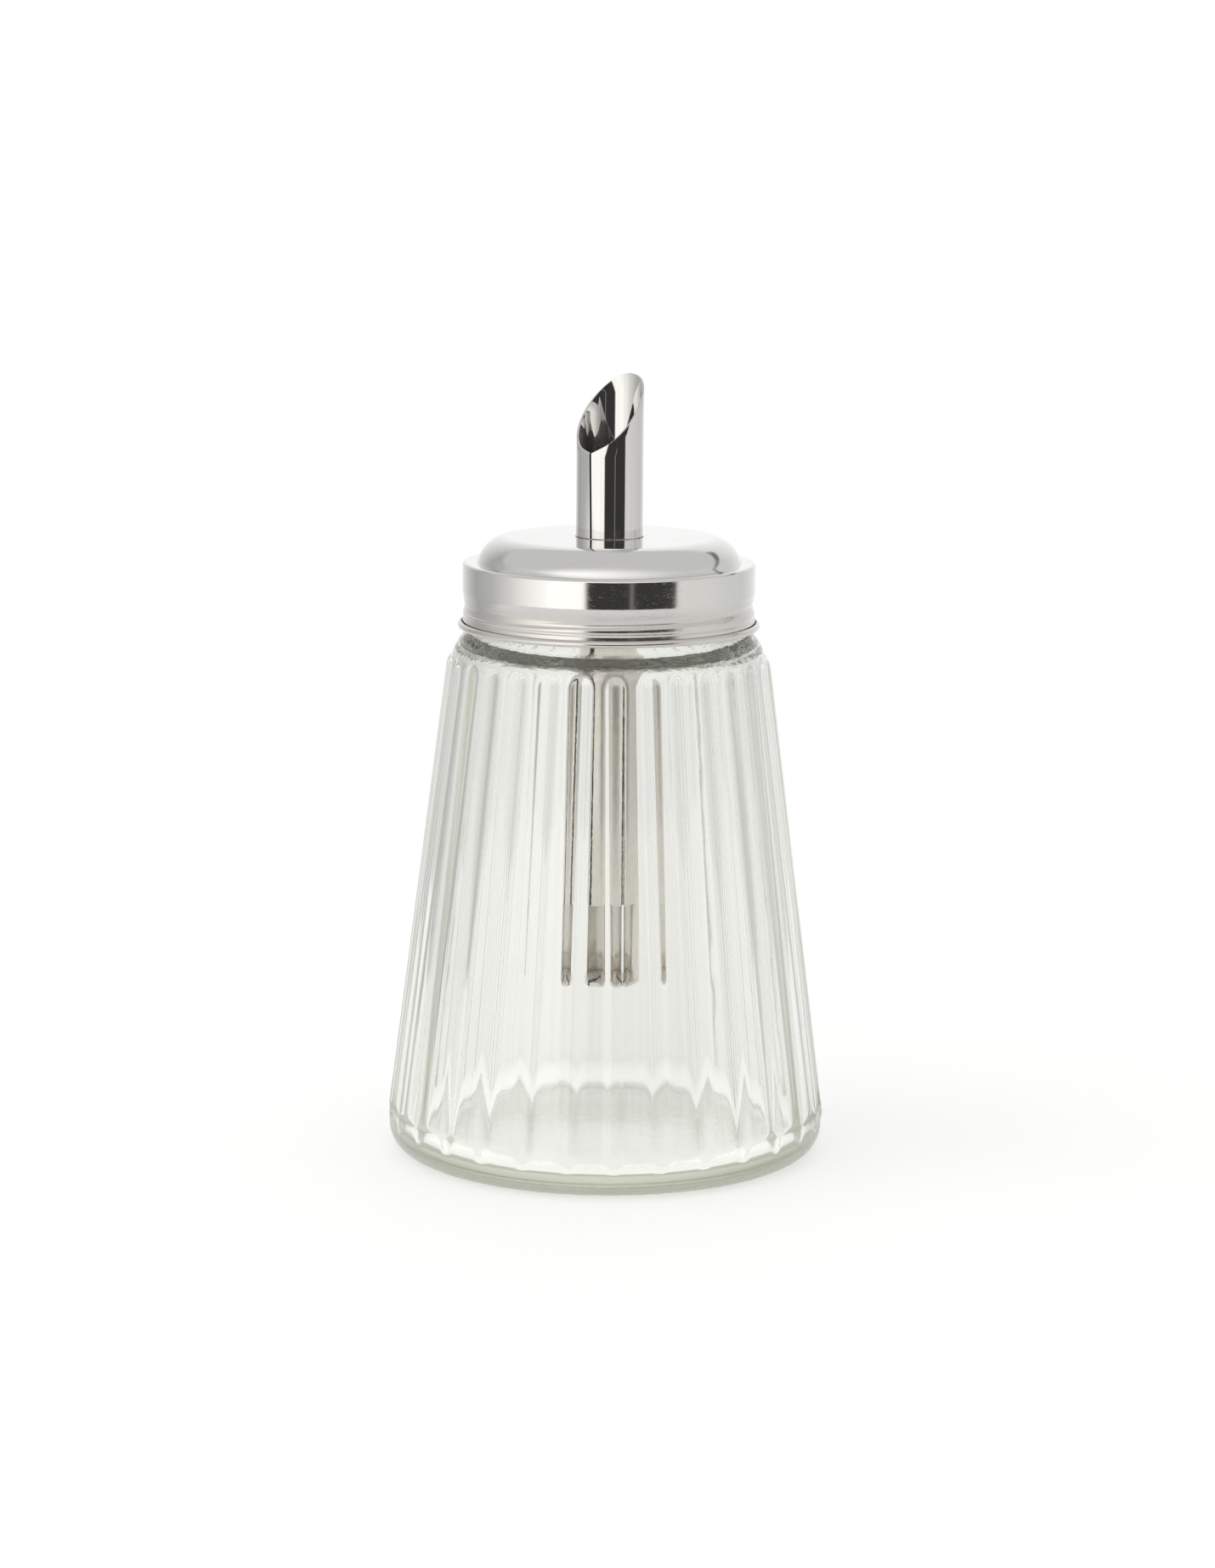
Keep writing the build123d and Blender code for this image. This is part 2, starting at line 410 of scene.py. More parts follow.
def drawn_steel(nodes, finishes):
    """Rolled and drawn tube: lines along its length."""
    lines = nodes.noise(nodes.round_axis(26.0, 14.0), 1.0, 4.0, 0.65)
    fine = nodes.noise(nodes.round_axis(70.0, 40.0), 1.0, 3.0, 0.6)
    clouds = nodes.noise(nodes.place(), 120.0, 3.0)
    lined = nodes.between(lines, 0.35, 0.70)
    tone = nodes.mix(lined, opaque(finishes.tube_steel), opaque(DRAWN_LINES))
    below = nodes.between(nodes.coordinate("Z"), *TARNISH_FADE)
    tarnish = below * (nodes.between(clouds, 0.3, 0.6) * 0.4 + 0.6)
    tone = nodes.mix(tarnish, tone, opaque(TARNISHED_STEEL))
    # Painted shade: a near-black line down the open seam on the front of the tube, ragged below the
    # crown, stands for the shade inside the gap.
    aside = nodes.coordinate("X").math("ABSOLUTE")
    front = nodes.coordinate("Y").math("LESS_THAN", 0.0)
    ragged_shade_spread = nodes.between(nodes.noise(nodes.place(), 1600.0), 0.30, 0.55) * below * 0.0005
    painted_seam_shade = nodes.between(aside - ragged_shade_spread, *SEAM_FADE) * front
    tone = nodes.mix(painted_seam_shade, tone, opaque(SEAM_PAINTED_SHADE))
    surface = nodes.principled({
        "Base Color": tone,
        "Metallic": 1 - tarnish * 0.55,
        "Roughness": fine * 0.03 + clouds * 0.02 + painted_seam_shade * 0.4 + tarnish * 0.12 + 0.02,
        "Normal": nodes.bump(0.01, 0.0001, lines + fine * 0.3),
    })
    depth = nodes.add("ShaderNodeLightPath").output("Glossy Depth")
    spent = depth.math("GREATER_THAN", LAST_MIRROR)
    dull = nodes.add("ShaderNodeBsdfDiffuse", {}, {"Color": opaque(DEEP_STEEL)})
    nodes.finish(nodes.add("ShaderNodeMixShader", {}, {0: spent, 1: surface, 2: dull}))


def solder(nodes, finishes):
    """Brazed joint, uneven and a little burnt."""
    clouds = nodes.noise(nodes.place(), 700.0, 4.0)
    burnt = nodes.between(clouds, 0.35, 0.65)
    surface = nodes.principled({
        "Base Color": nodes.mix(burnt, opaque(finishes.braze), opaque(BURNT_SOLDER)),
        "Metallic": 0.9,
        "Roughness": clouds * 0.3 + 0.25,
        "Normal": nodes.bump(0.4, 0.0002, clouds),
    })
    nodes.finish(surface)


def pressed_glass(nodes, finishes):
    """Soda-lime glass with a faint waviness from the mould."""
    waves = nodes.noise(nodes.stretched(nodes.place(), (1.0, 1.0, 0.45)), 160.0, 2.0)
    level = nodes.coordinate("Z")
    swirls = nodes.noise(nodes.stretched(nodes.place(), (1.0, 1.0, 2.5)), 260.0, 3.0, 0.55)
    inside = nodes.between(level, *SWIRL_FOOT) * nodes.between(level, *SWIRL_HEAD)
    inside = inside * nodes.between(nodes.from_axis(), *SWIRL_EDGE)
    surface = nodes.principled({
        "Base Color": opaque(GLASS_SURFACE),
        "Roughness": nodes.between(level, *BASE_FADE) * 0.14 + inside * 0.12 + 0.05,
        "IOR": GLASS_IOR,
        "Transmission Weight": 1.0,
        "Normal": nodes.bump(0.06, 0.0006, waves + swirls * inside * 30.0),
    })
    depth = {"Color": opaque(finishes.glass_tint), "Density": finishes.glass_depth}
    tint = nodes.add("ShaderNodeVolumeAbsorption", {}, depth)
    rays = nodes.add("ShaderNodeLightPath")
    shadow = rays.output("Is Shadow Ray")
    straight = nodes.add("ShaderNodeBsdfTransparent", {}, {"Color": opaque(GLASS_SHADE)})
    spent = rays.output("Glossy Depth").math("GREATER_THAN", LAST_MIRROR)
    clear = nodes.add("ShaderNodeMixShader", {}, {0: spent, 1: surface, 2: straight})
    glass = nodes.add("ShaderNodeMixShader", {}, {0: shadow, 1: clear, 2: straight})
    nodes.finish(glass, tint)


def sealing_plastic(nodes, finishes):
    """Matt off-white plastic with a faint grain."""
    grain = nodes.noise(nodes.place(), 900.0, 4.0)
    clouds = nodes.noise(nodes.place(), 110.0, 2.0)
    worn = nodes.between(clouds, 0.3, 0.7)
    surface = nodes.principled({
        "Base Color": nodes.mix(worn, opaque(finishes.liner), opaque(WORN_PLASTIC)),
        "Roughness": grain * 0.2 + 0.45,
        "Normal": nodes.bump(0.2, 0.0001, grain),
    })
    nodes.finish(surface)


# ---- shaping ---------------------------------------------------------------

THREAD_FADE = 0.08  # share of a turn over which a thread comes or goes
DOUBLES = 1e-6  # vertices this close are one
SHARP_FROM = radians(42)  # edges that turn more than this are shaded sharp


def bevel(bm, geometry, kind, width, segments, clamp):
    """Rounds vertices or edges."""
    bmesh.ops.bevel(
        bm,
        geom=geometry,
        affect=kind,
        offset=width,
        offset_type="OFFSET",
        segments=segments,
        profile=0.5,
        material=-1,
        clamp_overlap=clamp,
    )


def spin(bm, geometry, turn, steps, centre=(0, 0, 0), axis=UP, merge=False):
    """Sweeps vertices and wires about an axis."""
    bmesh.ops.spin(
        bm, geom=geometry, cent=centre, axis=axis, angle=turn, steps=steps, use_merge=merge
    )


def outline(bm, corners, closed=False):
    """Wire through (radius, height, rounding, segments) corners."""
    points = [Vector((radius, 0, height)) for radius, height, *_ in corners]
    vertices = [bm.verts.new(point) for point in points]
    for first, second in zip(vertices, vertices[1:]):
        bm.edges.new((first, second))
    if closed:
        bm.edges.new((vertices[-1], vertices[0]))
    for number, (_, _, rounding, segments) in enumerate(corners):
        if rounding:
            back = points[number - 1] - points[number]
            ahead = points[(number + 1) % len(points)] - points[number]
            turn = pi - back.angle(ahead)
            width = rounding * tan(turn / 2)
            bevel(bm, [vertices[number]], "VERTICES", width, segments, clamp=False)


def add_rows(bm, spacing):
    """Divides each straight run of a wire so that no part of it is longer than its spacing."""
    for edge in bm.edges[:]:
        middle = (edge.verts[0].co + edge.verts[1].co) / 2
        cuts = ceil(edge.calc_length() / spacing(middle.x, middle.z)) - 1
        if cuts > 0:
            bmesh.ops.subdivide_edges(bm, edges=[edge], cuts=cuts)


def turn_about_axis(bm, steps):
    """Spins a wire into a closed surface of revolution."""
    spin(bm, bm.verts[:] + bm.edges[:], 2 * pi, steps, merge=True)
    bmesh.ops.remove_doubles(bm, verts=bm.verts, dist=DOUBLES)
    bmesh.ops.recalc_face_normals(bm, faces=bm.faces)


def turned_piece(corners, steps, closed=False, spacing=None):
    """Surface of revolution of a section that is given by its corners."""
    bm = bmesh.new()
    outline(bm, corners, closed)
    if spacing:
        add_rows(bm, spacing)
    turn_about_axis(bm, steps)
    return bm


def azimuth_of(place):
    """Azimuth on the part, from -Y, counter-clockwise from above."""
    return atan2(place.x, -place.y)


def smooth_greater(first, second, softness):
    """The greater of two numbers, rounded where they are nearly the same."""
    near = max(softness - abs(first - second), 0) / softness
    return max(first, second) + near * near * softness / 4


def soften_edges(bm, width, sharper_than=radians(50)):
    """Small bevel on every edge that is sharper than an angle."""
    sharp = [e for e in bm.edges if e.is_manifold and e.calc_face_angle() > sharper_than]
    bevel(bm, sharp, "EDGES", width, 2, clamp=True)


def put_in_scene(bm, name, body, slot, finish, *nodes):
    """Makes the piece's object, and ties it to its body, finish and CAD nodes."""
    mesh = bpy.data.meshes.new(name)
    bm.to_mesh(mesh)
    bm.free()
    mesh.materials.append(material_of(finish, bpy.context.scene.finishes))
    mesh.shade_smooth()
    mesh.set_sharp_from_angle(angle=SHARP_FROM)
    piece = bpy.data.objects.new(name, mesh)
    bpy.context.scene.collection.objects.link(piece)
    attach(piece, body)
    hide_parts(*nodes)


# ---- the jar ---------------------------------------------------------------

RIB_COLUMNS = 16  # columns of faces for each rib and the wall beside it
RIB_SHARE = 0.66  # share of them that lie on the rib
HEEL_TOP = 0.0055  # heights where the rows of faces get another spacing
RIB_FEET_TOP = 0.011
RIB_TOPS_FOOT = 0.083
NECK_ROW, RIB_FOOT_ROW, RIB_TOP_ROW, WALL_ROW = 0.0003, 0.00045, 0.0005, 0.006  # the spacings
BORE_ROUNDING = 0.0008
CEILING_ROUNDING = 0.0025
PUNT_FULLNESS = 0.97  # share of the punt's radius that its rounding takes


def jar_lean(sizes):
    """Angle of the wall from the axis."""
    return atan2(sizes.foot_radius - sizes.neck_radius - sizes.shoulder_step, sizes.shoulder_height)


def wall_radius(sizes, height):
    """Radius of the smooth wall at a height."""
    return sizes.foot_radius - height * tan(jar_lean(sizes))


def jar_outline(sizes):
    """Corners of the jar's section, from the punt round the outside to the floor inside."""
    lean = jar_lean(sizes)
    shoulder_radius = sizes.neck_radius + sizes.shoulder_step
    neck_root = sizes.shoulder_height + sizes.shoulder_step
    rim = neck_root + sizes.neck_length
    bore = sizes.neck_radius - sizes.neck_wall
    ceiling_radius = wall_radius(sizes, sizes.ceiling_height) - sizes.shoulder_wall / cos(lean)
    bore_root = sizes.ceiling_height + (ceiling_radius - bore) * tan(sizes.ceiling_slope)
    floor_radius = wall_radius(sizes, sizes.floor_height) - sizes.wall / cos(lean)
    punt_middle = sizes.punt_radius / 2
    punt_ball = punt_middle * PUNT_FULLNESS / tan(atan2(sizes.punt_height, punt_middle) / 2)
    return [
        (0, sizes.punt_height, 0, 0),
        (punt_middle, sizes.punt_height, punt_ball, 10),
        (sizes.punt_radius, 0, 0, 0),
        (sizes.foot_radius, 0, sizes.heel_rounding, 9),
        (wall_radius(sizes, RIB_FEET_TOP), RIB_FEET_TOP, 0, 0),
        (wall_radius(sizes, RIB_TOPS_FOOT), RIB_TOPS_FOOT, 0, 0),
        (shoulder_radius, sizes.shoulder_height, sizes.shoulder_rounding, 12),
        (sizes.neck_radius, neck_root, sizes.neck_rounding, 6),
        (sizes.neck_radius, rim, sizes.rim_rounding, 5),
        (bore, rim, sizes.rim_rounding, 5),
        (bore, bore_root, BORE_ROUNDING, 6),
        (ceiling_radius, sizes.ceiling_height, CEILING_ROUNDING, 10),
        (floor_radius, sizes.floor_height, sizes.floor_rounding, 12),
        (0, sizes.floor_height, 0, 0),
    ]


class Rib:
    """A rod with ball ends, sunk in the wall until only its crest is proud."""

    def __init__(self, sizes):
        self.round = sizes.rib_round
        self.foot = self.end(sizes, sizes.rib_foot_end, sizes.rib_foot_rise, 1)
        self.top = self.end(sizes, sizes.rib_top_end, sizes.rib_top_rise, -1)
        self.run = self.top - self.foot
        self.along = self.run.normalized()
        self.cell = 2 * pi / sizes.rib_count

    def end(self, sizes, end_height, rise, step):
        """Centre of the ball whose outline on the wall stops at end_height."""
        lean = jar_lean(sizes)
        sink = self.round - rise
        half_width = sqrt(self.round**2 - sink**2)
        height = end_height + step * half_width * cos(lean)
        return Vector((wall_radius(sizes, height) - sink * cos(lean), 0, height - sink * sin(lean)))

    def reach(self, azimuth, height):
        """Distance from the axis out to the rib, and 0 where there is none."""
        level = Vector((cos(azimuth), sin(azimuth), 0))
        start = Vector((0, 0, height)) - self.foot
        across = start - self.along * start.dot(self.along)
        outward = level - self.along * level.dot(self.along)
        reach = self.crossing(outward.length_squared, outward.dot(across), across.length_squared)
        place = (start + level * reach).dot(self.along)
        if 0 <= place <= self.run.length:
            return reach
        ball = self.foot if place < 0 else self.top
        start = Vector((0, 0, height)) - ball
        return self.crossing(1, level.dot(start), start.length_squared)

    def crossing(self, square, slope, rest):
        """Outer root of the quadratic for where a level line leaves the rod or ball."""
        inside = slope * slope - square * (rest - self.round**2)
        return (sqrt(inside) - slope) / square if inside > 0 else 0

    def half_angle(self, sizes, height):
        """Half of the rib's width at a height, as an angle about the axis."""
        part = min(max((height - self.foot.z) / self.run.z, 0), 1)
        rise = sizes.rib_foot_rise + part * (sizes.rib_top_rise - sizes.rib_foot_rise)
        half_width = sqrt(self.round**2 - (self.round - rise) ** 2)
        return half_width / wall_radius(sizes, min(max(height, self.foot.z), self.top.z))

    def offset(self, azimuth):
        """Whole ribs before an azimuth, and how far it is from the nearest, from -1 to 1."""
        place = azimuth / self.cell
        return round(place), 2 * (place - round(place))


def mould_ribs(bm, sizes):
    """Gathers the columns of faces at the ribs, then raises the ribs from the wall."""
    rib = Rib(sizes)
    for vertex in bm.verts:
        radius = hypot(vertex.co.x, vertex.co.y)
        height = vertex.co.z
        nearest, side = rib.offset(azimuth_of(vertex.co))
        half = rib.half_angle(sizes, height)
        if abs(side) <= RIB_SHARE:
            away = side / RIB_SHARE * half
        else:
            rest = (abs(side) - RIB_SHARE) / (1 - RIB_SHARE) * (rib.cell / 2 - half)
            away = (half + rest) * (1 if side > 0 else -1)
        proud = wall_radius(sizes, height) - radius < sizes.wall / 2
        if proud and 0 < height < sizes.shoulder_height + sizes.rib_round:
            radius = smooth_greater(radius, rib.reach(away, height), sizes.rib_softness)
        azimuth = nearest * rib.cell + away
        vertex.co = Vector((radius * sin(azimuth), -radius * cos(azimuth), height))


def thread_rise(sizes, azimuth, height):
    """Section, from 0 to 1, of the neck's helical thread, which fades out at both ends."""
    turn = (azimuth / (2 * pi)) % 1
    laps = sizes.thread_laps
    for lap in range(ceil(laps)):
        place = turn + lap
        middle = sizes.thread_foot + sizes.thread_pitch * place
        away = abs(height - middle) / (sizes.thread_width / 2)
        if away < 1 and place < laps:
            fade = min(place, laps - place, THREAD_FADE) / THREAD_FADE
            return cos(away * pi / 2) ** 2 * fade
    return 0


def mould_neck_thread(bm, sizes):
    """Raises the thread that the lid screws on from the outside of the neck."""
    for vertex in bm.verts:
        outward = Vector((vertex.co.x, vertex.co.y, 0))
        if outward.length > sizes.neck_radius - sizes.rim_rounding / 4:
            rise = thread_rise(sizes, azimuth_of(vertex.co), vertex.co.z)
            vertex.co += outward.normalized() * rise * sizes.thread_rise


class SUGAR_OT_jar(bpy.types.Operator):
    """Ribbed glass jar with its thick base and threaded neck"""

    bl_idname = "sugar.jar"
    bl_label = "Glass jar"

    def execute(self, context):
        sizes = context.scene.jar_sizes
        neck_root = sizes.shoulder_height + sizes.shoulder_step
        outer = sizes.wall / 2

        def spacing(radius, height):
            if radius > sizes.neck_radius - outer / 4 and height > neck_root:
                return NECK_ROW
            on_wall = wall_radius(sizes, height) - radius < outer
            if on_wall and HEEL_TOP < height < RIB_FEET_TOP:
                return RIB_FOOT_ROW
            if on_wall and height > RIB_TOPS_FOOT:
                return RIB_TOP_ROW
            return WALL_ROW

        columns = RIB_COLUMNS * sizes.rib_count
        bm = turned_piece(jar_outline(sizes), columns, spacing=spacing)
        mould_ribs(bm, sizes)
        mould_neck_thread(bm, sizes)
        put_in_scene(bm, "jar", "jar", "glass", pressed_glass, "glass_jar")
        return {"FINISHED"}


# ---- the lid ---------------------------------------------------------------

LID_STEPS, LINER_STEPS, ROUND_STEPS = 240, 160, 96  # columns of faces round the axis
CURL, CURL_STEPS = 1.5 * pi, 18  # how far the edge is curled round its eye
CREASE_WIDTH = 0.00025
CREASE_ROUNDING = 0.0001
SWELL_HALF = 0.00025  # half the height of the swell below the waist
SWELL_INSET = 0.0001  # from the flare in to the swell
NIP = 0.0002  # from the flare in to the nip between the swell and the bead
SKIRT_ROW, CROWN_ROW = 0.0003, 0.003  # spacing of the rows of faces
GROOVE_PITCH = 0.004
GROOVE_OVERLAP = 0.0006  # the rolled thread may run this far up the band
LINER_ROUNDING = 0.00025


class SUGAR_OT_lid(bpy.types.Operator):
    """Spun steel lid with its dome, rim ring, rolled thread and curled bead"""

    bl_idname = "sugar.lid"
    bl_label = "Screw lid"

    def execute(self, context):
        sizes = context.scene.lid_sizes
        tube = context.scene.tube_sizes
        swell_radius = sizes.flare_radius - SWELL_INSET
        corners = [
            (tube.radius + sizes.braze_gap, sizes.crown_height, 0, 0),
            (sizes.crown_radius, sizes.crown_height, sizes.dome_rounding, 20),
            (sizes.dome_foot_radius, sizes.ring_height - sizes.crease_depth, CREASE_ROUNDING, 3),
            (sizes.dome_foot_radius + CREASE_WIDTH, sizes.ring_height, CREASE_ROUNDING, 3),
            (sizes.band_radius, sizes.ring_height, sizes.ring_rounding, 9),
            (sizes.band_radius, sizes.band_foot, 0.0025, 5),
            (sizes.waist_radius, sizes.waist_height, 0.001, 5),
            (swell_radius, sizes.swell_height + SWELL_HALF, 0.0005, 5),
            (swell_radius, sizes.swell_height - SWELL_HALF, 0.0005, 4),
            (sizes.flare_radius - NIP, sizes.flare_height + 0.0003, 0.0003, 3),
            (sizes.flare_radius, sizes.flare_height, 0.0003, 3),
            (sizes.flare_radius, sizes.bead_height, 0, 0),
        ]
        rows_change = sizes.band_foot + 0.001
        bm = bmesh.new()
        outline(bm, corners)
        add_rows(bm, lambda radius, height: SKIRT_ROW if height < rows_change else CROWN_ROW)
        edge = min(bm.verts, key=lambda vertex: vertex.co.z)
        eye = (sizes.flare_radius + sizes.bead_eye, 0, sizes.bead_height)
        spin(bm, [edge], -CURL, CURL_STEPS, centre=eye, axis=(0, 1, 0))
        turn_about_axis(bm, LID_STEPS)
        self.roll_thread(bm, sizes)
        bmesh.ops.solidify(bm, geom=bm.faces[:], thickness=sizes.sheet)
        put_in_scene(bm, "lid_shell", "lid", "lid_steel", polished_steel, "lid_cap")
        return {"FINISHED"}

    @staticmethod
    def roll_thread(bm, sizes):
        """Presses a helical groove into the skirt, above the bead and below the band."""
        for vertex in bm.verts:
            height = vertex.co.z
            if sizes.swell_height < height < sizes.band_foot + GROOVE_OVERLAP:
                turn = (azimuth_of(vertex.co) - sizes.groove_azimuth) / (2 * pi)
                turn -= round(turn)
                middle = sizes.groove_height + GROOVE_PITCH * turn
                away = abs(height - middle) / (sizes.groove_width / 2)
                if away < 1:
                    outward = Vector((vertex.co.x, vertex.co.y, 0)).normalized()
                    fade = min((0.5 - abs(turn)) / THREAD_FADE, 1)
                    depth = sizes.groove_depth * cos(away * pi / 2) ** 2 * fade
                    vertex.co -= outward * depth


class SUGAR_OT_liner(bpy.types.Operator):
    """Flat sealing ring between the glass rim and the lid"""

    bl_idname = "sugar.liner"
    bl_label = "Sealing ring"

    def execute(self, context):
        sizes = context.scene.lid_sizes
        outer = sizes.band_radius - sizes.sheet - sizes.liner_gap
        top = sizes.ring_height - sizes.sheet
        corners = [
            (sizes.liner_radius, sizes.liner_height, LINER_ROUNDING, 4),
            (outer, sizes.liner_height, LINER_ROUNDING, 4),
            (outer, top, LINER_ROUNDING, 4),
            (sizes.liner_radius, top, LINER_ROUNDING, 4),
        ]
        bm = turned_piece(corners, LINER_STEPS, closed=True)
        put_in_scene(bm, "sealing_ring", "liner", "liner", sealing_plastic, "lid_liner")
        return {"FINISHED"}


class SUGAR_OT_collar(bpy.types.Operator):
    """Flanged collar under the crown"""

    bl_idname = "sugar.collar"
    bl_label = "Collar"

    def execute(self, context):
        sizes = context.scene.lid_sizes
        bore = context.scene.tube_sizes.radius + sizes.braze_gap
        top = sizes.crown_height - sizes.sheet
        sleeve = bore + sizes.collar_wall
        corners = [
            (bore, top, 0, 0),
            (sizes.collar_flange, top, 0, 0),
            (sizes.collar_flange, top - sizes.collar_wall, 0.0003, 4),
            (sleeve, top - sizes.collar_wall, 0.0006, 5),
            (sleeve, top - sizes.collar_length, 0.0003, 4),
            (bore, top - sizes.collar_length, 0.0002, 3),
        ]
        bm = turned_piece(corners, ROUND_STEPS, closed=True)
        put_in_scene(bm, "collar", "lid", "tube_steel", drawn_steel, "tube_collar")
        return {"FINISHED"}


# ---- the dosing tube -------------------------------------------------------

TUBE_STEPS, TUBE_ROWS = 120, 30  # columns and rows of faces
DISC_ROW = 0.002
SOLDER_SUNK = 0.00005  # how far the solder reaches into the tube
SOLDER_ROOT = 0.0001  # and below the top of the crown
SOLDER_TOE = 0.00003  # its height at its outer edge
SOLDER_THROAT = 0.00012  # the corner that its hollow is rounded at, out and up
SOLDER_LIP = 0.00004  # its width at its upper edge


class SUGAR_OT_tube(bpy.types.Operator):
    """Rolled steel tube with its open seam, slanted mouth and dosing window"""

    bl_idname = "sugar.tube"
    bl_label = "Dosing tube"

    def execute(self, context):
        sizes = context.scene.tube_sizes
        foot = sizes.disc_height + sizes.disc_thickness
        window_top = foot + sizes.window_height
        half_seam = asin(sizes.seam / 2 / sizes.radius)
        bm = bmesh.new()
        start = bm.verts.new((sizes.radius * sin(half_seam), -sizes.radius * cos(half_seam), foot))
        end = bm.verts.new((start.co.x, start.co.y, sizes.mouth_high))
        side = bm.edges.new((start, end))
        bmesh.ops.subdivide_edges(bm, edges=[side], cuts=TUBE_ROWS)
        spin(bm, bm.verts[:] + bm.edges[:], 2 * (pi - half_seam), TUBE_STEPS)
        self.raise_keel(bm, sizes, context.scene.lid_sizes.crown_height)
        slant = Vector((0, sizes.mouth_low - sizes.mouth_high, 2 * sizes.radius))
        slant.rotate(Matrix.Rotation(sizes.mouth_turn, 3, "Z"))
        middle = (sizes.mouth_low + sizes.mouth_high) / 2
        self.cut(bm, bm.faces, (0, 0, middle), slant, clear_outer=True)
        self.cut(bm, bm.faces, (0, 0, window_top), UP)
        below = [face for face in bm.faces if face.calc_center_median().z < window_top]
        self.cut(bm, below, (0, 0, 0), (0, 1, 0), clear_inner=True)
        bmesh.ops.remove_doubles(bm, verts=bm.verts, dist=DOUBLES)
        bmesh.ops.recalc_face_normals(bm, faces=bm.faces)
        bmesh.ops.solidify(bm, geom=bm.faces[:], thickness=sizes.wall)
        soften_edges(bm, sizes.edge)
        put_in_scene(bm, "tube", "lid", "tube_steel", drawn_steel, "dosing_tube")
        return {"FINISHED"}

    @staticmethod
    def raise_keel(bm, sizes, crown_height):
        """Leaves the strip flat beside the seam, more and more towards the mouth."""
        half_keel = acos(sizes.radius / (sizes.radius + sizes.keel))
        for vertex in bm.verts:
            away = abs(azimuth_of(vertex.co))
            rise = (vertex.co.z - crown_height) / (sizes.mouth_low - crown_height)
            if away < half_keel and rise > 0:
                swell = (1 / cos(half_keel - away) - 1) * min(rise, 1) + 1
                vertex.co.x *= swell
                vertex.co.y *= swell

    @staticmethod
    def cut(bm, faces, place, normal, **clear):
        """Cuts faces along a plane and can clear one side of it."""
        edges = {edge for face in faces for edge in face.edges}
        vertices = {vertex for face in faces for vertex in face.verts}
        bmesh.ops.bisect_plane(
            bm,
            geom=list(vertices) + list(edges) + list(faces),
            dist=1e-7,
            plane_co=place,
            plane_no=normal,
            **clear,
        )


class SUGAR_OT_disc(bpy.types.Operator):
    """Disc that closes the tube"""

    bl_idname = "sugar.disc"
    bl_label = "Closing disc"

    def execute(self, context):
        sizes = context.scene.tube_sizes
        top = sizes.disc_height + sizes.disc_thickness
        corners = [
            (0, sizes.disc_height, 0, 0),
            (sizes.radius, sizes.disc_height, 0.0002, 3),
            (sizes.radius, top, 0.0001, 2),
            (0, top, 0, 0),
        ]
        bm = turned_piece(corners, ROUND_STEPS, spacing=lambda radius, height: DISC_ROW)
        put_in_scene(bm, "closing_disc", "lid", "tube_steel", drawn_steel, "tube_end_disc")
        return {"FINISHED"}


class SUGAR_OT_braze(bpy.types.Operator):
    """Fillet of solder where the tube meets the crown"""

    bl_idname = "sugar.braze"
    bl_label = "Solder fillet"

    def execute(self, context):
        lid = context.scene.lid_sizes
        tube = context.scene.tube_sizes
        inside, outside = tube.radius - SOLDER_SUNK, tube.radius + lid.braze_width
        foot, top = lid.crown_height - SOLDER_ROOT, lid.crown_height + lid.braze_width * 0.8
        corners = [
            (inside, foot, 0, 0),
            (outside, foot, 0, 0),
            (outside, lid.crown_height + SOLDER_TOE, 0, 0),
            (tube.radius + SOLDER_THROAT, lid.crown_height + SOLDER_THROAT, 0.0003, 5),
            (tube.radius + SOLDER_LIP, top, 0, 0),
            (inside, top, 0, 0),
        ]
        bm = turned_piece(corners, ROUND_STEPS, closed=True)
        put_in_scene(bm, "crown_solder", "lid", "tube_steel", solder)
        return {"FINISHED"}


# ---- the stage -------------------------------------------------------------

# Light of the room's walls, by degrees to the right of the camera as seen from the part.
WALL_LEVELS = (
    (-180, 1.05), (-129, 0.45), (-104, 0.55), (-84, 0.78), (-67, 1.05), (-44, 1.35),
    (-20, 1.30), (54, 0.84), (84, 0.80), (104, 0.74), (129, 0.70), (180, 1.05),
)
WARM_WALL = (1.0, 0.98, 0.945)
CEILING = (0.66, 0.66, 0.655)
DARK_EDGE = (0.10, 0.10, 0.10)
PANEL = (0.045, 0.044, 0.042)
PANEL_SLIT = (0.45, 0.44, 0.43)
BACKDROP = (0.96, 0.96, 0.95)  # what glass shows behind the part

KEY_LAMP = {"turned": -80, "lift": 48, "distance": 1.5, "size": 1.1, "power": 2.5}
LAMP_AIM = Vector((0, 0, 0.06))
FLOOR_DROP = 0.00005  # keeps the table clear of the jar's base


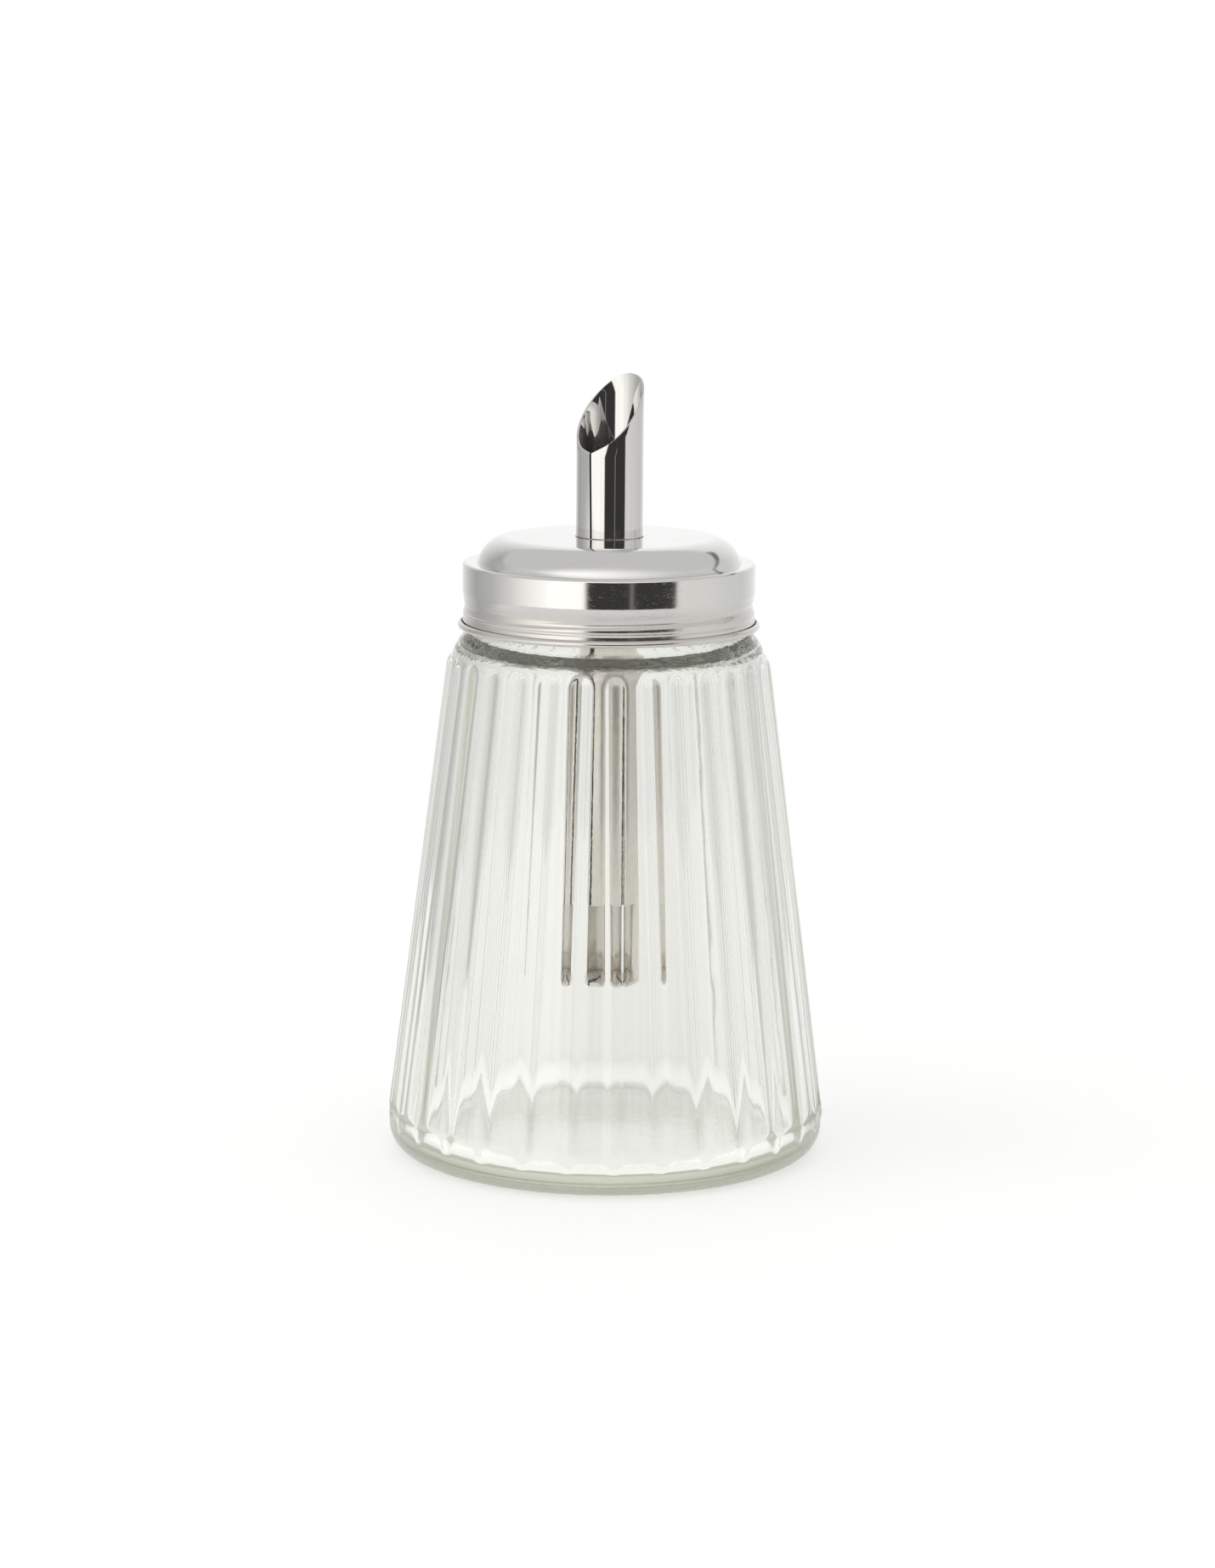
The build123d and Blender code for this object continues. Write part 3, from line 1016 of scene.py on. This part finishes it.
def studio_world(world, studio):
    """White to the camera; to gloss and glass a room with a dark panel beside the camera."""
    nodes = Nodes(world)
    way = nodes.add("ShaderNodeTexCoord").output("Generated")
    towards = Vector((sin(studio.camera_azimuth), -cos(studio.camera_azimuth), 0))
    rightwards = Vector((cos(studio.camera_azimuth), sin(studio.camera_azimuth), 0))

    def along(direction):
        """Part of a ray's direction that points this way."""
        sockets = {0: way, 1: direction}
        product = nodes.add("ShaderNodeVectorMath", {"operation": "DOT_PRODUCT"}, sockets)
        return product.output("Value")

    def edge(outer, inner):
        """Upright edge between two azimuths, in degrees to the right of the camera."""
        return nodes.between(turn, outer / 360 + 0.5, inner / 360 + 0.5)

    rise = along(UP)
    turn = along(rightwards).math("ARCTAN2", along(towards)) / (2 * pi) + 0.5
    stops = [(turned / 360 + 0.5, level) for turned, level in WALL_LEVELS]
    walls = nodes.add("ShaderNodeValToRGB", {"stops": stops}, {"Fac": turn})
    warm = nodes.between(along(towards), -0.4, 0.4)
    walls = nodes.mix(warm, walls, opaque(WARM_WALL), "MULTIPLY")
    pitch = rise.math("ARCTAN2", along(towards))
    near_edge = nodes.between(pitch, radians(24), radians(60))
    far_edge = nodes.between(pitch, radians(141), radians(131))
    ceiling = near_edge * far_edge * nodes.between(rise, 0.15, 0.45)
    room = nodes.mix(ceiling, walls, opaque(CEILING))
    streak = nodes.between(pitch, radians(145), radians(143)) * far_edge.math("LESS_THAN", 0.4)
    beside = nodes.between(along(rightwards), 0.40, 0.52)
    room = nodes.mix(streak * beside * 0.85, room, opaque(DARK_EDGE))
    foot = nodes.between(rise, -0.53, -0.48)
    head = nodes.between(rise, 0.32, 0.28)
    panel = edge(-20.5, -15.5) * edge(54.5, 53.5) * foot * head
    slit = edge(16.0, 17.0) * edge(19.5, 18.5)
    panel_tone = nodes.mix(slit * 0.5, opaque(PANEL), opaque(PANEL_SLIT))
    rays = nodes.add("ShaderNodeLightPath")
    mirrored = rays.output("Glossy Depth").math("GREATER_THAN", 0.5)
    through = rays.output("Is Transmission Ray") * (1 - mirrored * 0.85)
    room = nodes.mix(panel * (1 - through * 0.75), room, panel_tone)
    room = nodes.mix(through * 0.4, room, opaque(BACKDROP))
    shown = nodes.mix(rays.output("Is Camera Ray"), room, opaque(WHITE))
    light = nodes.add("ShaderNodeBackground", {}, {"Color": shown, "Strength": 1.0})
    nodes.add("ShaderNodeOutputWorld", {}, {"Surface": light})


def table_top(nodes, studio):
    """Pale matt table that keeps the part's shadow."""
    rays = nodes.add("ShaderNodeLightPath")
    through = rays.output("Is Transmission Ray")
    glow = rays.output("Is Camera Ray").math("MAXIMUM", through)
    glow = (glow + rays.output("Is Glossy Ray") * 0.3).math("MINIMUM", 1.0) * studio.floor_glow
    away = nodes.add("ShaderNodeVectorMath", {"operation": "LENGTH"}, {0: nodes.place()})
    # Painted light: rays through the glass see the table glow brighter near the jar, fully within
    # 35 mm of the middle, for light that comes through the jar.
    painted_light_near_jar = nodes.between(away.output("Value"), 0.060, 0.035)
    glow = glow + through * painted_light_near_jar * 0.30
    surface = nodes.principled({
        "Base Color": opaque(studio.floor_colour),
        "Roughness": 0.9,
        "Specular IOR Level": 0.0,
        "Emission Color": nodes.mix(glow, opaque(BLACK), opaque(WHITE)),
        "Emission Strength": 1.0,
    })
    nodes.finish(surface)


class SUGAR_OT_stage(bpy.types.Operator):
    """Pale floor, soft studio light and the camera"""

    bl_idname = "sugar.stage"
    bl_label = "Stage"

    def execute(self, context):
        studio = context.scene.studio
        self.lay_floor(context, studio)
        world = bpy.data.worlds.new("studio")
        context.scene.world = world
        studio_world(world, studio)
        self.hang_lamp(context, studio, **KEY_LAMP)
        self.place_camera(context, studio)
        context.scene.view_settings.view_transform = "Standard"
        return {"FINISHED"}

    @staticmethod
    def lay_floor(context, studio):
        """Round table top, which is stage and not part."""
        bm = bmesh.new()
        bmesh.ops.create_circle(bm, cap_ends=True, radius=studio.floor_radius, segments=96)
        bmesh.ops.translate(bm, verts=bm.verts, vec=(0, 0, -FLOOR_DROP))
        mesh = bpy.data.meshes.new("table")
        bm.to_mesh(mesh)
        bm.free()
        mesh.materials.append(material_of(table_top, studio))
        floor = bpy.data.objects.new("table", mesh)
        context.scene.collection.objects.link(floor)

    @staticmethod
    def hang_lamp(context, studio, turned, lift, distance, size, power):
        """Soft lamp, turned to the right of the camera and lifted above the floor, in degrees."""
        turned = studio.camera_azimuth + radians(turned)
        lift = radians(lift)
        level = distance * cos(lift)
        place = Vector((level * sin(turned), -level * cos(turned), distance * sin(lift)))
        lamp = bpy.data.lights.new("key", "AREA")
        lamp.shape = "DISK"
        lamp.size = size
        lamp.energy = power
        holder = bpy.data.objects.new("key", lamp)
        holder.visible_glossy = False
        holder.visible_transmission = False
        context.scene.collection.objects.link(holder)
        turning = (LAMP_AIM - place).to_track_quat("-Z", "Y").to_matrix().to_4x4()
        holder.matrix_world = Matrix.Translation(place) @ turning

    @staticmethod
    def place_camera(context, studio):
        """Camera that looks at the part from slightly above."""
        turned = studio.camera_azimuth
        place = Vector((
            studio.camera_distance * sin(turned),
            -studio.camera_distance * cos(turned),
            studio.camera_height,
        ))
        lens = bpy.data.cameras.new("camera")
        lens.sensor_fit = "VERTICAL"
        lens.sensor_height = 24
        lens.lens = studio.focal_pixels / IMAGE_HEIGHT * lens.sensor_height
        lens.clip_start = 0.01
        camera = bpy.data.objects.new("camera", lens)
        context.scene.collection.objects.link(camera)
        camera.matrix_world = (
            Matrix.Translation(place)
            @ Matrix.Rotation(turned, 4, "Z")
            @ Matrix.Rotation(pi / 2 - studio.camera_dip, 4, "X")
            @ Matrix.Rotation(studio.camera_roll, 4, "Z")
        )
        context.scene.camera = camera


class SUGAR_PT_panel(bpy.types.Panel):
    """Lists the pieces and their sizes"""

    bl_idname = "SUGAR_PT_panel"
    bl_label = "Sugar Dispenser"
    bl_space_type = "VIEW_3D"
    bl_region_type = "UI"
    bl_category = "Sugar Dispenser"

    def draw(self, context):
        for operator in OPERATORS:
            self.layout.operator(operator.bl_idname)
        for group, owner in SETTINGS.items():
            box = self.layout.box()
            box.label(text=owner.__doc__)
            for name in owner.__annotations__:
                box.prop(getattr(context.scene, group), name)


SETTINGS = {
    "jar_sizes": JarSizes,
    "lid_sizes": LidSizes,
    "tube_sizes": TubeSizes,
    "finishes": Finishes,
    "studio": StudioSettings,
}
OPERATORS = (
    SUGAR_OT_jar,
    SUGAR_OT_lid,
    SUGAR_OT_liner,
    SUGAR_OT_collar,
    SUGAR_OT_tube,
    SUGAR_OT_disc,
    SUGAR_OT_braze,
    SUGAR_OT_stage,
)
CLASSES = (*SETTINGS.values(), *OPERATORS, SUGAR_PT_panel)


def register():
    for item in CLASSES:
        bpy.utils.register_class(item)
    for name, group in SETTINGS.items():
        setattr(bpy.types.Scene, name, PointerProperty(type=group))


def unregister():
    for name in SETTINGS:
        delattr(bpy.types.Scene, name)
    for item in reversed(CLASSES):
        bpy.utils.unregister_class(item)


def main():
    register()
    bpy.ops.sugar.jar()
    bpy.ops.sugar.lid()
    bpy.ops.sugar.liner()
    bpy.ops.sugar.collar()
    bpy.ops.sugar.tube()
    bpy.ops.sugar.disc()
    bpy.ops.sugar.braze()
    bpy.ops.sugar.stage()


if __name__ == "__main__":
    main()
